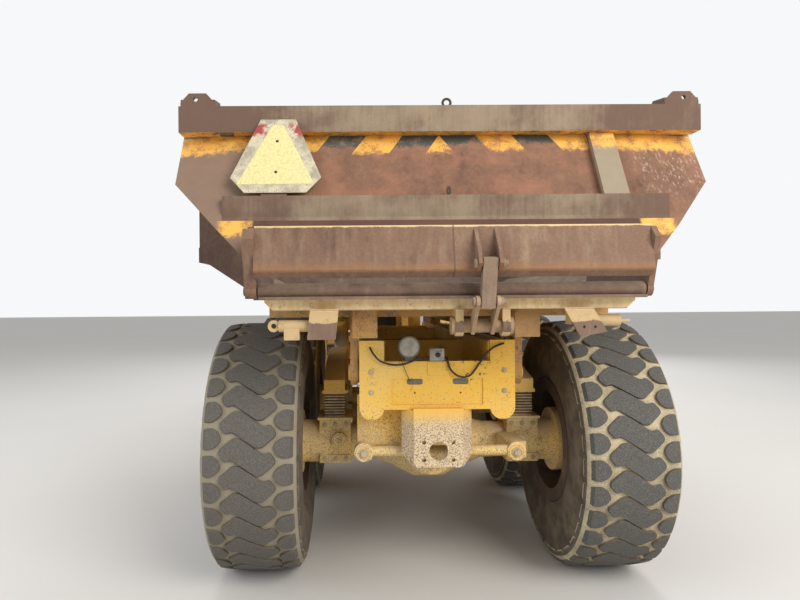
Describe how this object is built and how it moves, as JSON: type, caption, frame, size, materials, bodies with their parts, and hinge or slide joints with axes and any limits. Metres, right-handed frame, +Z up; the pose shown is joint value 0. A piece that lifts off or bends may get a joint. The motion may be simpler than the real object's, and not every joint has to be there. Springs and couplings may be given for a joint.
{
  "type": "articulated dump truck",
  "caption": "Articulated dump truck with a rusted tipping body, tailgate, tail flap, cab and treaded tyres",
  "frame": {"origin": "on the ground under the middle of the truck's length and width", "axes": "+Y forward to the bumper, +X to the truck's right-hand side, +Z up"},
  "size_m": [2.66, 8.89, 3.2],
  "materials": {
    "yellow_paint": "worn",
    "rusted_plate": "rusted",
    "tyre_rubber": "worn",
    "rim_steel": "rusted",
    "spring_rubber": "worn",
    "bare_steel": "worn",
    "engine_iron": "matte",
    "window_glass": "clear",
    "cab_plastic": "matte",
    "black_steel": "matte",
    "black_plastic": "matte",
    "lamp_lens": "gloss",
    "rod_steel": "polished"
  },
  "bodies": {
    "rear_unit": {"rear_frame": "yellow_paint", "tow_bracket": "yellow_paint", "bogie_axles": "yellow_paint", "bogie_beams": "yellow_paint", "rubber_springs": "spring_rubber", "axle_stays": "yellow_paint", "drive_shafts": "bare_steel", "rear_lamp": "lamp_lens"},
    "hitch": {"hitch": "yellow_paint"},
    "front_unit": {"front_frame": "yellow_paint", "front_axle": "yellow_paint", "engine": "engine_iron", "fenders": "yellow_paint", "cab_shell": "yellow_paint", "cab_glass": "window_glass", "cab_interior": "cab_plastic", "side_tank": "yellow_paint", "exhaust": "black_steel", "mirrors": "black_plastic", "headlamps": "lamp_lens"},
    "hood": {"hood": "yellow_paint", "grille": "black_steel"},
    "door": {"door": "yellow_paint", "door_glass": "window_glass"},
    "dump_body": {"dump_body": "rusted_plate", "body_rails": "yellow_paint", "body_bearers": "yellow_paint", "lip_beam": "yellow_paint"},
    "tailgate": {"tailgate": "rusted_plate"},
    "flap": {"flap": "rusted_plate"},
    "flap_shaft": {"flap_shaft": "yellow_paint"},
    "flap_link": {"flap_link": "rusted_plate"},
    "hoist_barrels": {"hoist_barrels": "yellow_paint"},
    "hoist_rods": {"hoist_rods": "rod_steel"},
    "steer_barrel_left": {"steer_barrel_left": "black_steel"},
    "steer_barrel_right": {"steer_barrel_right": "black_steel"},
    "steer_rod_left": {"steer_rod_left": "rod_steel"},
    "steer_rod_right": {"steer_rod_right": "rod_steel"},
    "wheel_front_left": {"tyre_front_left": "tyre_rubber", "rim_front_left": "rim_steel"},
    "wheel_front_right": {"tyre_front_right": "tyre_rubber", "rim_front_right": "rim_steel"},
    "wheel_mid_left": {"tyre_mid_left": "tyre_rubber", "rim_mid_left": "rim_steel"},
    "wheel_mid_right": {"tyre_mid_right": "tyre_rubber", "rim_mid_right": "rim_steel"},
    "wheel_rear_left": {"tyre_rear_left": "tyre_rubber", "rim_rear_left": "rim_steel"},
    "wheel_rear_right": {"tyre_rear_right": "tyre_rubber", "rim_rear_right": "rim_steel"}
  },
  "joints": [
    {"name": "hitch_roll", "type": "hinge", "parent": "rear_unit", "child": "hitch", "pos_m": [0, 0.015, 0.9], "axis": [0, 1, 0], "range_deg": [-15, 15]},
    {"name": "steer", "type": "hinge", "parent": "hitch", "child": "front_unit", "pos_m": [0, 1.045, 0.9], "axis": [0, 0, 1], "range_deg": [-45, 45]},
    {"name": "body_tip", "type": "hinge", "parent": "rear_unit", "child": "dump_body", "pos_m": [0, -3.665, 1.2], "axis": [1, 0, 0], "range_deg": [0, 70]},
    {"name": "gate_swing", "type": "hinge", "parent": "dump_body", "child": "tailgate", "pos_m": [0, -3.845, 2.6], "axis": [-1, 0, 0], "range_deg": [0, 70]},
    {"name": "flap_swing", "type": "hinge", "parent": "dump_body", "child": "flap", "pos_m": [0, -4.27, 1.64], "axis": [1, 0, 0], "range_deg": [0, 98]},
    {"name": "flap_shaft_turn", "type": "hinge", "parent": "dump_body", "child": "flap_shaft", "pos_m": [0, -4.225, 1.476], "axis": [1, 0, 0], "range_deg": [0, 98]},
    {"name": "flap_link_swing", "type": "hinge", "parent": "flap_shaft", "child": "flap_link", "pos_m": [0.144, -4.365, 1.586], "axis": [-1, 0, 0], "range_deg": [0, 98]},
    {"name": "hoist_barrel_swing", "type": "hinge", "parent": "rear_unit", "child": "hoist_barrels", "pos_m": [0, -0.495, 1], "axis": [-1, 0, 0], "range_deg": [0, 11]},
    {"name": "hoist_slide", "type": "slide", "parent": "hoist_barrels", "child": "hoist_rods", "axis": [0, -0.9645, 0.264], "range_m": [0, 1.42]},
    {"name": "hood_swing", "type": "hinge", "parent": "front_unit", "child": "hood", "pos_m": [0, 4.259, 1.16], "axis": [-1, 0, 0], "range_deg": [0, 60]},
    {"name": "door_swing", "type": "hinge", "parent": "front_unit", "child": "door", "pos_m": [-0.848, 2.653, 2.3], "axis": [0, 0, -1], "range_deg": [0, 80]},
    {"name": "steer_barrel_swing_left", "type": "hinge", "parent": "front_unit", "child": "steer_barrel_left", "pos_m": [-0.575, 2.065, 0.9], "axis": [0, 0, 1], "range_deg": [-6.8, 6.8]},
    {"name": "steer_slide_left", "type": "slide", "parent": "steer_barrel_left", "child": "steer_rod_left", "axis": [0.1608, -0.987, 0], "range_m": [-0.3, 0.3]},
    {"name": "steer_barrel_swing_right", "type": "hinge", "parent": "front_unit", "child": "steer_barrel_right", "pos_m": [0.575, 2.065, 0.9], "axis": [0, 0, 1], "range_deg": [-6.8, 6.8]},
    {"name": "steer_slide_right", "type": "slide", "parent": "steer_barrel_right", "child": "steer_rod_right", "axis": [-0.1608, -0.987, 0], "range_m": [-0.3, 0.3]},
    {"name": "spin_front_left", "type": "hinge", "parent": "front_unit", "child": "wheel_front_left", "pos_m": [-0.985, 2.245, 0.73], "axis": [1, 0, 0], "continuous": true},
    {"name": "spin_front_right", "type": "hinge", "parent": "front_unit", "child": "wheel_front_right", "pos_m": [0.985, 2.245, 0.73], "axis": [1, 0, 0], "continuous": true},
    {"name": "spin_mid_left", "type": "hinge", "parent": "rear_unit", "child": "wheel_mid_left", "pos_m": [-0.985, -1.705, 0.73], "axis": [1, 0, 0], "continuous": true},
    {"name": "spin_mid_right", "type": "hinge", "parent": "rear_unit", "child": "wheel_mid_right", "pos_m": [0.985, -1.705, 0.73], "axis": [1, 0, 0], "continuous": true},
    {"name": "spin_rear_left", "type": "hinge", "parent": "rear_unit", "child": "wheel_rear_left", "pos_m": [-0.985, -3.245, 0.73], "axis": [1, 0, 0], "continuous": true},
    {"name": "spin_rear_right", "type": "hinge", "parent": "rear_unit", "child": "wheel_rear_right", "pos_m": [0.985, -3.245, 0.73], "axis": [1, 0, 0], "continuous": true}
  ],
  "couplings": [
    {"joint": "gate_swing", "follows": "body_tip", "ratio": 1},
    {"joint": "flap_swing", "follows": "body_tip", "ratio": 1.4},
    {"joint": "flap_shaft_turn", "follows": "body_tip", "ratio": 1.4},
    {"joint": "flap_link_swing", "follows": "body_tip", "ratio": 1.4},
    {"joint": "hoist_barrel_swing", "follows": "body_tip", "ratio": 0.157},
    {"joint": "hoist_slide", "follows": "body_tip", "m_per_rad": 1.16},
    {"joint": "steer_barrel_swing_left", "follows": "steer", "ratio": -0.1488},
    {"joint": "steer_barrel_swing_right", "follows": "steer", "ratio": -0.1488},
    {"joint": "steer_slide_left", "follows": "steer", "m_per_rad": -0.379},
    {"joint": "steer_slide_right", "follows": "steer", "m_per_rad": 0.379}
  ]
}
